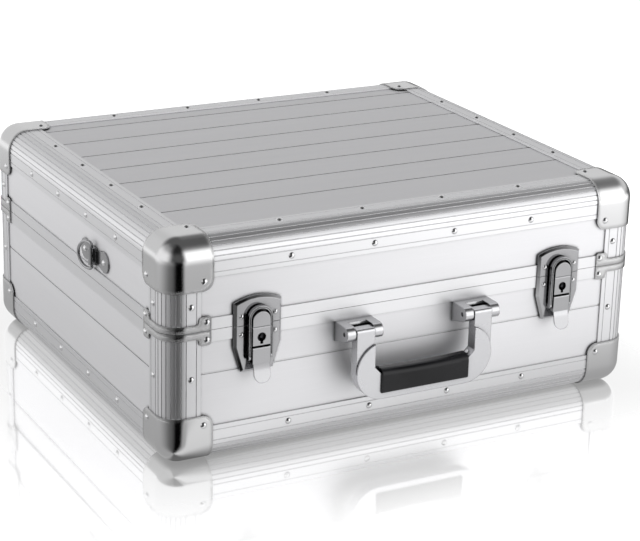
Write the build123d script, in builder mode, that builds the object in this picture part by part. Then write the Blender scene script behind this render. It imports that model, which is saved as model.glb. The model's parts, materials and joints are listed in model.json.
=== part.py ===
from build123d import *
import os
from math import cos, radians, sin

# Aluminium flight case with a hinged lid, standing on its lower corners.
# X runs along the front, Y from front to back, Z up. The origin is on the floor,
# under the middle of the whole case, handle and hinges included. Millimetres.

os.makedirs("parts", exist_ok=True)

# Case
case_width = 480.0
case_depth = 417.0
case_height = 202.4
seam_height = 122.0
seam_gap = 0.4

# Edge extrusions: a rounded, fluted corner with two flanges and two inner webs
edge_radius = 19.6
flange_width = 33.3
flange_wall = 1.3
web_reach = 30.0
web_wall = 1.2
flute_count = 8
flute_radius = 0.5
lip_groove_inset = 4.2
lip_groove_radius = 0.4

# Panels and rims
panel_thickness = 5.0
panel_clearance = 0.2
rib_pitch = 46.25
rib_offset = 17.2
rib_count = 7
rib_width = 1.8
rib_depth = 0.5
wall_rib_height = 82.5
base_rim_height = 11.0
lid_rim_height = 10.5
rim_wall = 1.5
tongue_inset = 2.5
tongue_wall = 1.2
tongue_height = 3.8
groove_depth = 4.6

# Lining
lining_thickness = 3.0
lining_setback = 4.0
lining_corner_radius = 8.0

# Ball corners and seam braces, steel sheet
corner_sheet = 1.2
flap_reach = 44.6
flap_corner_radius = 10.0
brace_reach = 42.4
brace_band_height = 6.3
brace_ear_width = 11.4
brace_ear_height = 12.6
brace_ear_radius = 2.6

# Rivets
rivet_radius = 3.0
rivet_height = 1.7
low_rivet_height = 0.9
rivet_inset = 24.5
rivet_count = 4
rivet_end_inset_x = 118.05
rivet_end_inset_y = 105.3
flap_rivet_inset = 35.8
base_post_rivet_from_seam = 42.8
lid_post_rivet_share = 0.6313
ear_rivet_inset = 38.5
ear_rivet_from_seam = 7.9

# Latches
latch_inset = 85.6
latch_plate_width = 45.3
latch_plate_thickness = 3.2
latch_plate_bevel = 2.2
catch_plate_side = 20.5
catch_plate_rise = 5.3
latch_base_side = 19.2
latch_base_length = 42.6
latch_base_foot = 31.0
latch_rivet_spacing = 32.0
catch_rivet_rise = 9.0
latch_rivet_drop = 7.7
latch_rivet_radius = 2.3
housing_width = 16.8
housing_front = 10.0
housing_top = 13.4
housing_drop = 17.3
housing_cap_back = 5.0
housing_step_height = 1.3
housing_step_depth = 0.9
catch_dome_clearance = 0.4
catch_dome_side = 6.0
keyhole_radius = 4.0
keyhole_drop = 9.7
keyhole_slot_width = 2.5
keyhole_slot_reach = 6.2
keyhole_floor = 1.0
plug_clearance = 0.08
plug_recess = 2.6
plug_pin_radius = 1.2
plug_pin_recess = 0.8

# Latch lever and bail
lever_pivot_off = 7.0
lever_pivot_drop = 22.0
lever_pin_radius = 1.0
lever_lug_radius = 1.8
lever_lug_width = 8.0
lever_lug_shoulder = 0.2
lever_skin = 1.2
lever_front = 10.2
lever_top = 2.9
lever_length = 11.8
lever_knuckle_radius = 2.6
lever_edge_radius = 1.1
lever_skirt_back = 2.4
lever_side_wall = 1.3
tab_width = 15.8
tab_length = 28.4
tab_kick = 4.4
tab_bow = 1.7
tab_tip_radius = 7.0
bail_gap = 0.8
bail_bar = 2.2
bail_depth = 3.7
bail_groove_width = 0.7
bail_groove_depth = 0.5
bail_back = 5.0
bail_arch_rise = 6.5
bail_pivot_back = 0.7
bail_pivot_drop = 6.6
bail_eye_radius = 2.5
bail_stud_radius = 1.2
bail_stud_depth = 1.1
running_clearance = 0.05

# Handle
handle_spacing = 120.2
bracket_width = 35.6
bracket_knuckle_radius = 6.8
bracket_top_drop = 11.0
bracket_root_height = 19.0
handle_pivot_off = 16.8
handle_pin_radius = 2.0
handle_pin_recess = 1.2
arm_width = 17.8
arm_gap = 0.35
arm_front = 24.4
arm_depth = 9.6
arm_top = 5.0
arm_top_radius = 3.0
recess_back = 7.6
recess_slope = 2.2
handle_drop = 62.8
handle_corner_radius = 27.0
cheek_raise = 2.0
bar_height = 6.0
gusset_rise = 4.6
gusset_run = 7.0
grip_length = 88.4
grip_height = 22.4
grip_front = 28.8
grip_back = 14.8
grip_front_radius = 6.0
grip_back_radius = 3.5
grip_waist = 1.2
screw_radius = 2.0
screw_height = 0.8

# Strap fittings on the two ends
strap_from_front = 154.5
strap_above_rim = 3.4
strap_ear_spacing = 44.0
strap_ear_share = 0.2623
strap_neck_share = 0.94
strap_plate_thickness = 1.6
strap_barrel_radius = 3.1
strap_barrel_play = 1.7
strap_barrel_sink = 0.4
strap_root_inset = 2.0
strap_root_step = 0.3
ring_wire_radius = 1.5
ring_height_share = 1.302
ring_length = 17.5
ring_corner_radius = 2.8
ring_rest_angle = 20.0

# Hinges at the back
hinge_inset = 90.0
hinge_width = 63.0
hinge_knuckle_count = 5
hinge_knuckle_gap = 0.3
hinge_barrel_radius = 3.5
hinge_barrel_off = 3.8
hinge_pin_radius = 1.5
hinge_leaf_thickness = 1.6
hinge_leaf_height = 27.0
hinge_relief = 4.3
hinge_tab_lap = 1.0
hinge_rivet_pitch = 21.0
hinge_rivet_from_seam = 17.0

# Places worked out from the sizes above
floor_to_shell = corner_sheet
seam_z = floor_to_shell + seam_height
top_z = floor_to_shell + case_height
half_width = case_width / 2
hinge_reach = hinge_barrel_off + hinge_barrel_radius
case_shift = (grip_front - hinge_reach) / 2
front_y = case_shift - case_depth / 2
back_y = case_shift + case_depth / 2
wall_stack = flange_wall + panel_thickness + web_wall
panel_edge = edge_radius + panel_clearance
bail_half_width = housing_width / 2 + bail_gap + bail_bar
handle_pivot_z = seam_z - bracket_top_drop - bracket_knuckle_radius
handle_bottom_z = handle_pivot_z - handle_drop
latch_spacing = case_width - 2 * latch_inset
hinge_spacing = case_width - 2 * hinge_inset
rivet_pitch_x = (case_width - 2 * rivet_end_inset_x) / (rivet_count - 1)
rivet_pitch_y = (case_depth - 2 * rivet_end_inset_y) / (rivet_count - 1)
lid_panel_shows = case_height - seam_height - lid_rim_height - flange_width
lid_post_shows = case_height - seam_height - flap_reach
lid_post_rivet_from_seam = lid_post_rivet_share * lid_post_shows
strap_ear_radius = strap_ear_share * lid_panel_shows
strap_neck = strap_neck_share * strap_ear_radius
strap_barrel_off = strap_plate_thickness - flange_wall + strap_barrel_radius - strap_barrel_sink
strap_centre_y = strap_from_front - case_depth / 2
strap_height = seam_height + lid_rim_height + strap_above_rim + strap_ear_radius
ring_half_height = ring_height_share * strap_ear_radius
strap_barrel_length = 2 * (ring_half_height - ring_corner_radius - strap_barrel_play)

X_DIR, Y_DIR, Z_DIR = Vector(1, 0, 0), Vector(0, 1, 0), Vector(0, 0, 1)
sides = {"left": -1, "right": 1}
depths = {"front": -1, "back": 1}


def save(piece, name):
    """Label a finished piece and write it."""
    piece.part.label = name
    export_step(piece.part, f"parts/{name}.step")


def face_plane(x, z, off=0.0):
    """Plane on the front face, X to the right and Z up, its normal pointing outward."""
    return Plane(origin=(x, front_y - off, z), x_dir=X_DIR, z_dir=-Y_DIR)


def back_plane(x, z, off=0.0):
    """Plane on the back face, its normal pointing outward."""
    return Plane(origin=(x, back_y + off, z), x_dir=-X_DIR, z_dir=Y_DIR)


def end_plane(side, y, z, off=0.0):
    """Plane on the left or right face, Z up, its normal pointing outward."""
    normal = X_DIR * side
    return Plane(origin=(side * (half_width + off), y, z), x_dir=Y_DIR * side, z_dir=normal)


def profile_plane(x, off, z):
    """Upright plane across the front, its local x pointing out of the case and y up."""
    return Plane(origin=(x, front_y - off, z), x_dir=-Y_DIR, z_dir=-X_DIR)


def corner_point(side, depth, level):
    """Outer corner of the bare case: side and depth are -1 or 1, level is a height."""
    return Vector(side * half_width, case_shift + depth * case_depth / 2, level)


# Section shared by the twelve edge extrusions: x and y run inward from the two faces
with BuildSketch() as edge_section:
    with BuildLine():
        Line((flange_width, 0), (edge_radius, 0))
        RadiusArc((edge_radius, 0), (0, edge_radius), edge_radius)
        Polyline(
            (0, edge_radius),
            (0, flange_width),
            (flange_wall, flange_width),
            (flange_wall, edge_radius),
            (wall_stack - web_wall, edge_radius),
            (wall_stack - web_wall, web_reach),
            (wall_stack, web_reach),
            (wall_stack, wall_stack),
            (web_reach, wall_stack),
            (web_reach, wall_stack - web_wall),
            (edge_radius, wall_stack - web_wall),
            (edge_radius, flange_wall),
            (flange_width, flange_wall),
            (flange_width, 0),
        )
    make_face()
    with Locations((edge_radius, edge_radius)):
        with PolarLocations(edge_radius, flute_count, 180, 90, endpoint=True):
            Circle(flute_radius, mode=Mode.SUBTRACT)
    lip_groove = flange_width - lip_groove_inset
    with Locations((lip_groove, 0), (0, lip_groove)):
        Circle(lip_groove_radius, mode=Mode.SUBTRACT)


def edge_extrusion(corner, across, inward, span, far_mitre=True):
    """One extrusion from an outer corner of the case, mitred where others meet it."""
    run = across.cross(inward)
    length = span - edge_radius * (2 if far_mitre else 1)
    with BuildPart() as edge:
        with BuildSketch(Plane(origin=corner + run * edge_radius, x_dir=across, z_dir=run)):
            add(edge_section.sketch)
        extrude(amount=length)
        split(bisect_by=Plane(origin=corner, z_dir=run - across), keep=Keep.TOP)
        split(bisect_by=Plane(origin=corner, z_dir=run - inward), keep=Keep.TOP)
        if far_mitre:
            far = corner + run * span
            split(bisect_by=Plane(origin=far, z_dir=-run - across), keep=Keep.TOP)
            split(bisect_by=Plane(origin=far, z_dir=-run - inward), keep=Keep.TOP)
    return edge


def long_edge(depth, level, up):
    """Extrusion along X at the front or back; up is 1 on the base and -1 on the lid."""
    across, inward = Y_DIR * -depth, Z_DIR * up
    start = -across.cross(inward).X
    return edge_extrusion(corner_point(start, depth, level), across, inward, case_width)


def short_edge(side, level, up):
    """Extrusion along Y at the left or right."""
    across, inward = X_DIR * -side, Z_DIR * up
    start = -across.cross(inward).Y
    return edge_extrusion(corner_point(side, start, level), across, inward, case_depth)


def corner_post(side, depth, level, up, height):
    """Upright extrusion from a corner of the case to the seam."""
    first, second = X_DIR * -side, Y_DIR * -depth
    if first.cross(second).Z * up < 0:
        first, second = second, first
    return edge_extrusion(corner_point(side, depth, level), first, second, height, False)


for word, depth in depths.items():
    save(long_edge(depth, floor_to_shell, 1), f"base_{word}_edge")
    save(long_edge(depth, top_z, -1), f"lid_{word}_edge")
for word, side in sides.items():
    save(short_edge(side, floor_to_shell, 1), f"base_{word}_edge")
    save(short_edge(side, top_z, -1), f"lid_{word}_edge")

base_post_height = seam_height - seam_gap / 2
lid_post_height = case_height - seam_height - seam_gap / 2
with BuildPart() as base_posts:
    for side in sides.values():
        for depth in depths.values():
            add(corner_post(side, depth, floor_to_shell, 1, base_post_height).part)
with BuildPart() as lid_posts:
    for side in sides.values():
        for depth in depths.values():
            add(corner_post(side, depth, top_z, -1, lid_post_height).part)
save(base_posts, "base_corner_posts")
save(lid_posts, "lid_corner_posts")


# Panels: board with a thin ribbed skin, held in the channels of the extrusions
panel_width = case_width - 2 * panel_edge
panel_depth = case_depth - 2 * panel_edge


def flat_panel(level, outward):
    """Top or bottom panel, its outer face at the given level."""
    outer = Plane(origin=(0, case_shift, level), x_dir=X_DIR, z_dir=Z_DIR * outward)
    with BuildPart() as panel:
        with BuildSketch(outer):
            Rectangle(panel_width, panel_depth)
        extrude(amount=-panel_thickness)
        with BuildSketch(outer):
            with Locations((0, outward * rib_offset)):
                with GridLocations(1, rib_pitch, 1, rib_count):
                    Rectangle(panel_width, rib_width)
        extrude(amount=-rib_depth, mode=Mode.SUBTRACT)
    return panel


def wall_panel(outer, width, low, high, rib=None):
    """Upright panel between two heights on a face plane, with one rib line if given."""
    with BuildPart() as panel:
        with BuildSketch(outer):
            with Locations((0, (low + high) / 2)):
                Rectangle(width, high - low)
        extrude(amount=-panel_thickness)
        if rib is not None:
            with BuildSketch(outer):
                with Locations((0, rib)):
                    Rectangle(width, rib_width)
            extrude(amount=-rib_depth, mode=Mode.SUBTRACT)
    return panel


save(flat_panel(floor_to_shell + flange_wall, -1), "base_bottom_panel")
save(flat_panel(top_z - flange_wall, 1), "lid_top_panel")

base_panel_top = seam_height - seam_gap / 2 - rim_wall - panel_clearance
lid_panel_foot = seam_height + seam_gap / 2 + groove_depth + rim_wall + panel_clearance
wall_faces = {
    "front": (face_plane(0, floor_to_shell, -flange_wall), panel_width),
    "back": (back_plane(0, floor_to_shell, -flange_wall), panel_width),
    "left": (end_plane(-1, case_shift, floor_to_shell, -flange_wall), panel_depth),
    "right": (end_plane(1, case_shift, floor_to_shell, -flange_wall), panel_depth),
}
for word, (outer, width) in wall_faces.items():
    save(wall_panel(outer, width, panel_edge, base_panel_top, wall_rib_height), f"base_{word}_panel")
    save(wall_panel(outer, width, lid_panel_foot, case_height - panel_edge), f"lid_{word}_panel")


# Rims: the closing profiles, a tongue on the base and a groove in the lid
with BuildSketch() as base_rim_section:
    with BuildLine():
        Polyline(
            (0, -base_rim_height),
            (0, -seam_gap / 2),
            (tongue_inset, -seam_gap / 2),
            (tongue_inset, tongue_height),
            (tongue_inset + tongue_wall, tongue_height),
            (tongue_inset + tongue_wall, -seam_gap / 2),
            (wall_stack, -seam_gap / 2),
            (wall_stack, -base_rim_height),
            (wall_stack - web_wall, -base_rim_height),
            (wall_stack - web_wall, -seam_gap / 2 - rim_wall),
            (flange_wall, -seam_gap / 2 - rim_wall),
            (flange_wall, -base_rim_height),
            close=True,
        )
    make_face()

with BuildSketch() as lid_rim_section:
    with BuildLine():
        Polyline(
            (0, lid_rim_height),
            (0, seam_gap / 2),
            (flange_wall, seam_gap / 2),
            (flange_wall, seam_gap / 2 + groove_depth),
            (wall_stack - web_wall, seam_gap / 2 + groove_depth),
            (wall_stack - web_wall, seam_gap / 2),
            (wall_stack, seam_gap / 2),
            (wall_stack, lid_rim_height),
            (wall_stack - web_wall, lid_rim_height),
            (wall_stack - web_wall, seam_gap / 2 + groove_depth + rim_wall),
            (flange_wall, seam_gap / 2 + groove_depth + rim_wall),
            (flange_wall, lid_rim_height),
            close=True,
        )
    make_face()


def rim(section):
    """Four straight strips along the seam, one on each side, between the posts."""
    with BuildPart() as frame:
        for inward, span in (
            (Y_DIR, case_width),
            (-Y_DIR, case_width),
            (X_DIR, case_depth),
            (-X_DIR, case_depth),
        ):
            run = inward.cross(Z_DIR)
            middle = Vector(0, case_shift, seam_z)
            reach = case_depth / 2 if inward.X == 0 else half_width
            start = middle - inward * reach - run * (span / 2 - flange_width)
            with BuildSketch(Plane(origin=start, x_dir=inward, z_dir=run)):
                add(section.sketch)
            extrude(amount=span - 2 * flange_width)
    return frame


save(rim(base_rim_section), "base_rim")
save(rim(lid_rim_section), "lid_rim")


# Linings: soft trays inside the base and the lid
def lining(level, up, height):
    """Open tray lying against the inner webs, its floor at the given level."""
    width, depth = case_width - 2 * wall_stack, case_depth - 2 * wall_stack
    floor = Plane(origin=(0, case_shift, level), x_dir=X_DIR, z_dir=Z_DIR * up)
    with BuildPart() as tray:
        with BuildSketch(floor):
            RectangleRounded(width, depth, lining_corner_radius)
        extrude(amount=height)
        hollow = (width - 2 * lining_thickness, depth - 2 * lining_thickness)
        with BuildSketch(floor.offset(lining_thickness)):
            RectangleRounded(*hollow, lining_corner_radius - lining_thickness)
        extrude(amount=height, mode=Mode.SUBTRACT)
    return tray


save(lining(floor_to_shell + wall_stack, 1, seam_height - wall_stack - lining_setback), "base_lining")
lid_lining_height = case_height - wall_stack - seam_height - lining_setback
save(lining(top_z - wall_stack, -1, lid_lining_height), "lid_lining")


# Ball corners: three flaps of sheet over each corner, rounded where they meet
with BuildPart() as corner_core:
    Box(flap_reach * 2, flap_reach * 2, flap_reach * 2, align=(Align.MIN,) * 3)
    near = corner_core.edges().sort_by_distance((0, 0, 0))[:3]
    fillet(near, edge_radius)

with BuildPart() as ball_corner:
    with Locations((-corner_sheet,) * 3):
        Box(*(flap_reach + corner_sheet,) * 3, align=(Align.MIN,) * 3)
    near = ball_corner.edges().sort_by_distance((-corner_sheet,) * 3)[:3]
    fillet(near, edge_radius + corner_sheet)
    add(corner_core.part, mode=Mode.SUBTRACT)
    for axis in (Axis.X, Axis.Y, Axis.Z):
        tips = ball_corner.edges().filter_by(axis)
        tips = tips.filter_by(lambda e: e.length < 2 * corner_sheet and e.center().length > flap_reach)
        fillet(tips, flap_corner_radius)


def outward_frame(side, depth, up, level):
    """Plane at an outer corner of the case whose three axes all point inward."""
    first, second = X_DIR * -side, Y_DIR * -depth
    if first.cross(second).Z * up < 0:
        first = second
    return Plane(origin=corner_point(side, depth, level), x_dir=first, z_dir=Z_DIR * up)


for side_word, side in sides.items():
    for depth_word, depth in depths.items():
        for half, up, level in (("base", 1, floor_to_shell), ("lid", -1, top_z)):
            with BuildPart(outward_frame(side, depth, up, level)) as piece:
                add(ball_corner.part)
            save(piece, f"{half}_corner_{depth_word}_{side_word}")


# Seam braces: a band round each upright corner with a riveted ear on each face
with BuildSketch() as ear_outline:
    with BuildLine():
        Polyline(
            (edge_radius, 0),
            (brace_reach, 0),
            (brace_reach, brace_ear_height),
            (brace_reach - brace_ear_width, brace_ear_height),
            (brace_reach - brace_ear_width, brace_band_height),
            (edge_radius, brace_band_height),
            close=True,
        )
    make_face()
    bends = ear_outline.vertices().filter_by(lambda v: v.X > edge_radius + 1 and v.Y > 1)
    fillet(bends, brace_ear_radius)

with BuildPart() as brace:
    with BuildSketch():
        with Locations((edge_radius, edge_radius)):
            Circle(edge_radius + corner_sheet)
            Circle(edge_radius, mode=Mode.SUBTRACT)
        with Locations((edge_radius, 0), (0, edge_radius)):
            Rectangle(4 * edge_radius, 4 * edge_radius, align=(Align.MIN,) * 2, mode=Mode.SUBTRACT)
    extrude(amount=brace_band_height)
    with BuildSketch(Plane(origin=(0, 0, 0), x_dir=X_DIR, z_dir=-Y_DIR)):
        add(ear_outline.sketch)
    extrude(amount=corner_sheet)
    mirror(about=Plane(origin=(0, 0, 0), x_dir=Z_DIR, z_dir=(1, -1, 0)))


def braces(up):
    """Four braces just above or below the seam."""
    with BuildPart() as group:
        for side in sides.values():
            for depth in depths.values():
                level = seam_z + up * seam_gap / 2
                with Locations(outward_frame(side, depth, up, level)):
                    add(brace.part)
    return group


save(braces(-1), "base_corner_braces")
save(braces(1), "lid_corner_braces")


# Latch parts on the front face; v is the height above the seam
def pivot_bore(x, off, z, radius, half_length):
    """Cut a round bore along X through the part being built."""
    with BuildSketch(profile_plane(x, off, z)) as bore:
        Circle(radius)
    extrude(bore.sketch, amount=half_length, both=True, mode=Mode.SUBTRACT)


def bevel_front(piece, off, skip_z):
    """Bevel the outline of a plate's front face, but not its edge at the seam."""
    face = piece.faces().filter_by(Axis.Y).sort_by(Axis.Y)[0]
    edges = face.edges().filter_by(lambda e: abs(e.center().Z - skip_z) > seam_gap)
    chamfer(edges, off)


def catch_plate(x):
    """Plate on the lid with a low arched dome behind the lock housing."""
    half = latch_plate_width / 2
    foot = seam_gap / 2
    crown = catch_plate_side + catch_plate_rise
    with BuildPart() as plate:
        with BuildSketch(face_plane(x, seam_z)):
            with BuildLine():
                Polyline((-half, catch_plate_side), (-half, foot), (half, foot), (half, catch_plate_side))
                ThreePointArc((half, catch_plate_side), (0, crown), (-half, catch_plate_side))
            make_face()
        extrude(amount=latch_plate_thickness)
        bevel_front(plate, latch_plate_bevel, seam_z + foot)
        with BuildSketch(face_plane(x, seam_z)):
            with Locations((0, lid_rim_height)):
                Rectangle(
                    latch_plate_width - 2 * latch_plate_bevel,
                    catch_plate_side - lid_rim_height,
                    align=(Align.CENTER, Align.MIN),
                )
        extrude(amount=-flange_wall)
        dome = housing_width / 2
        with BuildSketch(face_plane(x, seam_z, latch_plate_thickness)):
            with Locations((0, foot)):
                Rectangle(2 * dome, catch_dome_side - foot, align=(Align.CENTER, Align.MIN))
            with Locations((0, catch_dome_side)):
                Circle(dome)
                Rectangle(
                    2 * dome,
                    dome + catch_dome_side,
                    align=(Align.CENTER, Align.MAX),
                    mode=Mode.SUBTRACT,
                )
            with Locations((0, foot)):
                Rectangle(2 * dome, catch_dome_side - foot, align=(Align.CENTER, Align.MIN))
        extrude(amount=housing_cap_back - catch_dome_clearance - latch_plate_thickness)
    return plate


def latch_base(x):
    """Plate on the base with the lock housing and the lug that carries the lever."""
    half = latch_plate_width / 2
    foot = latch_base_foot / 2
    half_house = housing_width / 2
    key_z = seam_z - keyhole_drop
    pivot_z = seam_z - lever_pivot_drop
    with BuildPart() as plate:
        with BuildSketch(face_plane(x, seam_z)):
            Polygon(
                (-half, -seam_gap / 2),
                (-half, -latch_base_side),
                (-foot, -latch_base_length),
                (foot, -latch_base_length),
                (half, -latch_base_side),
                (half, -seam_gap / 2),
                align=None,
            )
        extrude(amount=latch_plate_thickness)
        bevel_front(plate, latch_plate_bevel, seam_z - seam_gap / 2)
        pad = latch_base_length - base_rim_height - latch_plate_bevel
        with BuildSketch(face_plane(x, seam_z - base_rim_height)):
            Rectangle(latch_base_foot - 2 * latch_plate_bevel, pad, align=(Align.CENTER, Align.MAX))
        extrude(amount=-flange_wall)
        with BuildSketch(face_plane(x, seam_z - seam_gap / 2, latch_plate_thickness)):
            Rectangle(housing_width, housing_drop - seam_gap / 2, align=(Align.CENTER, Align.MAX))
        extrude(amount=housing_front - latch_plate_thickness)
        with BuildSketch(face_plane(x, seam_z, housing_cap_back)):
            with Locations((0, housing_top - half_house)):
                Circle(half_house)
            with Locations((0, -housing_drop)):
                Rectangle(
                    housing_width,
                    housing_drop + housing_top - half_house,
                    align=(Align.CENTER, Align.MIN),
                )
        extrude(amount=housing_front - housing_cap_back)
        with BuildSketch(profile_plane(x, housing_front, seam_z)):
            Polygon((0, 0), (-housing_step_depth, 0), (0, -housing_step_height), align=None)
        extrude(amount=half_house, both=True, mode=Mode.SUBTRACT)
        with BuildSketch(face_plane(x, key_z, housing_front)):
            Circle(keyhole_radius)
            slot_reach = keyhole_slot_reach
            Rectangle(keyhole_slot_width, slot_reach, align=(Align.CENTER, Align.MAX))
        extrude(amount=keyhole_floor - housing_front, mode=Mode.SUBTRACT)
        with BuildSketch(profile_plane(x, lever_pivot_off, pivot_z)):
            Circle(lever_lug_radius)
            Polygon(
                (0, lever_lug_radius),
                (latch_plate_thickness - lever_pivot_off, lever_lug_shoulder),
                (latch_plate_thickness - lever_pivot_off, -2 * lever_lug_radius),
                (0, -lever_lug_radius),
                align=None,
            )
        extrude(amount=lever_lug_width / 2, both=True)
        pivot_bore(x, lever_pivot_off, pivot_z, lever_pin_radius, lever_lug_width)
    return plate


def lock_plug(x):
    """Turning plug in the keyhole, with a key slot and a centre pin."""
    key_z = seam_z - keyhole_drop
    radius = keyhole_radius - plug_clearance
    with BuildPart() as plug:
        with BuildSketch(face_plane(x, key_z, keyhole_floor)):
            Circle(radius)
        extrude(amount=housing_front - plug_recess - keyhole_floor)
        with BuildSketch(face_plane(x, key_z, housing_front - plug_recess)):
            Rectangle(keyhole_slot_width, 2 * radius, align=(Align.CENTER, Align.MAX))
        extrude(amount=-plug_recess, mode=Mode.SUBTRACT)
        with BuildSketch(face_plane(x, key_z, keyhole_floor)):
            Circle(plug_pin_radius)
        extrude(amount=housing_front - plug_pin_recess - keyhole_floor)
    return plug


def latch_lever(x):
    """Folded lever: a front skin, two side walls on the pin, and the finger tab."""
    pivot_z = seam_z - lever_pivot_drop
    front = lever_front - lever_pivot_off
    skin_back = front - lever_skin
    half = housing_width / 2
    bend = -(lever_length + tab_length) / 2
    tip = skin_back + tab_kick
    with BuildPart() as lever:
        with BuildSketch(profile_plane(x, lever_pivot_off, pivot_z)):
            with BuildLine():
                Line((skin_back, lever_top), (front - lever_edge_radius, lever_top))
                RadiusArc(
                    (front - lever_edge_radius, lever_top),
                    (front, lever_top - lever_edge_radius),
                    lever_edge_radius,
                )
                Line((front, lever_top - lever_edge_radius), (front, -lever_length))
                ThreePointArc(
                    (front, -lever_length),
                    (front + tab_bow, bend),
                    (tip + lever_skin, -tab_length),
                )
                Line((tip + lever_skin, -tab_length), (tip, -tab_length))
                ThreePointArc(
                    (tip, -tab_length),
                    (skin_back + tab_bow, bend),
                    (skin_back, -lever_length),
                )
                Polyline(
                    (skin_back, -lever_length),
                    (-lever_skirt_back, -lever_length),
                    (-lever_skirt_back, lever_skirt_back - bail_pivot_drop),
                    (0, -lever_knuckle_radius / 2),
                    (skin_back, lever_top),
                )
            make_face()
            Circle(lever_knuckle_radius)
        extrude(amount=half, both=True)
        with BuildSketch(profile_plane(x, lever_pivot_off, pivot_z)):
            with Locations((skin_back, -lever_length)):
                Rectangle(6 * front, 2 * lever_length, align=(Align.MAX, Align.MIN))
        extrude(amount=half - lever_side_wall, both=True, mode=Mode.SUBTRACT)
        with BuildSketch(face_plane(x, pivot_z - tab_length)):
            align = (Align.CENTER, Align.MIN)
            Rectangle(2 * tab_width, tab_length - lever_length, align=align)
            RectangleRounded(tab_width, tab_length, tab_tip_radius, align=align, mode=Mode.SUBTRACT)
        extrude(amount=tab_length, both=True, mode=Mode.SUBTRACT)
        pivot_bore(x, lever_pivot_off, pivot_z, lever_pin_radius + running_clearance, housing_width)
        pivot_bore(
            x,
            lever_pivot_off - bail_pivot_back,
            pivot_z - bail_pivot_drop,
            bail_stud_radius + running_clearance,
            housing_width,
        )
    return lever


def latch_bail(x):
    """Arched loop round the lock housing, with a stud at each foot that turns in the lever."""
    inner = bail_half_width - bail_bar
    middle = bail_half_width - bail_bar / 2
    foot_z = seam_z - lever_pivot_drop - bail_pivot_drop
    leg = lever_pivot_drop + bail_pivot_drop + bail_arch_rise
    pivot_off = lever_pivot_off - bail_pivot_back
    with BuildPart() as bail:
        with BuildSketch(face_plane(x, seam_z + bail_arch_rise, bail_back)):
            Circle(bail_half_width)
            Rectangle(2 * bail_half_width, leg, align=(Align.CENTER, Align.MAX))
            Circle(inner, mode=Mode.SUBTRACT)
            Rectangle(2 * inner, leg, align=(Align.CENTER, Align.MAX), mode=Mode.SUBTRACT)
        extrude(amount=bail_depth)
        with BuildSketch(face_plane(x, seam_z + bail_arch_rise, bail_back + bail_depth)):
            Circle(middle + bail_groove_width / 2)
            Rectangle(2 * middle + bail_groove_width, leg, align=(Align.CENTER, Align.MAX))
            Circle(middle - bail_groove_width / 2, mode=Mode.SUBTRACT)
            align = (Align.CENTER, Align.MAX)
            Rectangle(2 * middle - bail_groove_width, leg, align=align, mode=Mode.SUBTRACT)
        extrude(amount=-bail_groove_depth, mode=Mode.SUBTRACT)
        with BuildSketch(profile_plane(x, pivot_off, foot_z)):
            Circle(bail_eye_radius)
        extrude(amount=bail_half_width, both=True)
        with BuildSketch(profile_plane(x, pivot_off, foot_z)):
            Circle(bail_eye_radius * 2)
        extrude(amount=inner, both=True, mode=Mode.SUBTRACT)
        for end in (-1, 1):
            with BuildSketch(profile_plane(x + end * inner, pivot_off, foot_z)):
                Circle(bail_stud_radius)
            extrude(amount=-end * (bail_gap + bail_stud_depth), both=False)
    return bail


def turned_pin(x, off, z, radius, length):
    """Plain round pin along X."""
    with BuildPart() as pin:
        with BuildSketch(profile_plane(x, off, z)):
            Circle(radius)
        extrude(amount=length / 2, both=True)
    return pin


for word, side in sides.items():
    latch_x = side * latch_spacing / 2
    save(catch_plate(latch_x), f"catch_plate_{word}")
    save(latch_base(latch_x), f"latch_base_{word}")
    save(lock_plug(latch_x), f"lock_plug_{word}")
    save(latch_lever(latch_x), f"latch_lever_{word}")
    save(latch_bail(latch_x), f"latch_bail_{word}")

with BuildPart() as latch_pins:
    for side in sides.values():
        latch_x = side * latch_spacing / 2
        pin_z = seam_z - lever_pivot_drop
        add(turned_pin(latch_x, lever_pivot_off, pin_z, lever_pin_radius, housing_width).part)
save(latch_pins, "latch_pins")


# Handle on the base front
def handle_bracket(x):
    """Bracket with two knuckles, an open recess for the arm and a sloping underside."""
    radius = bracket_knuckle_radius
    half_gap = arm_width / 2 + arm_gap
    with BuildPart() as bracket:
        with BuildSketch(profile_plane(x, 0, handle_pivot_z)):
            with Locations((handle_pivot_off, 0)):
                Circle(radius)
            Polygon(
                (-flange_wall, radius),
                (handle_pivot_off, radius),
                (handle_pivot_off, -radius),
                (-flange_wall, radius - bracket_root_height),
                align=None,
            )
        extrude(amount=bracket_width / 2, both=True)
        with BuildSketch(profile_plane(x, recess_back, handle_pivot_z)):
            Polygon(
                (0, radius),
                (recess_slope, -radius / 3),
                (recess_slope, -2 * radius),
                (handle_pivot_off, -2 * radius),
                (handle_pivot_off, radius),
                align=None,
            )
        extrude(amount=half_gap, both=True, mode=Mode.SUBTRACT)
        pivot_bore(x, handle_pivot_off, handle_pivot_z, handle_pin_radius, bracket_width)
    return bracket


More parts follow.
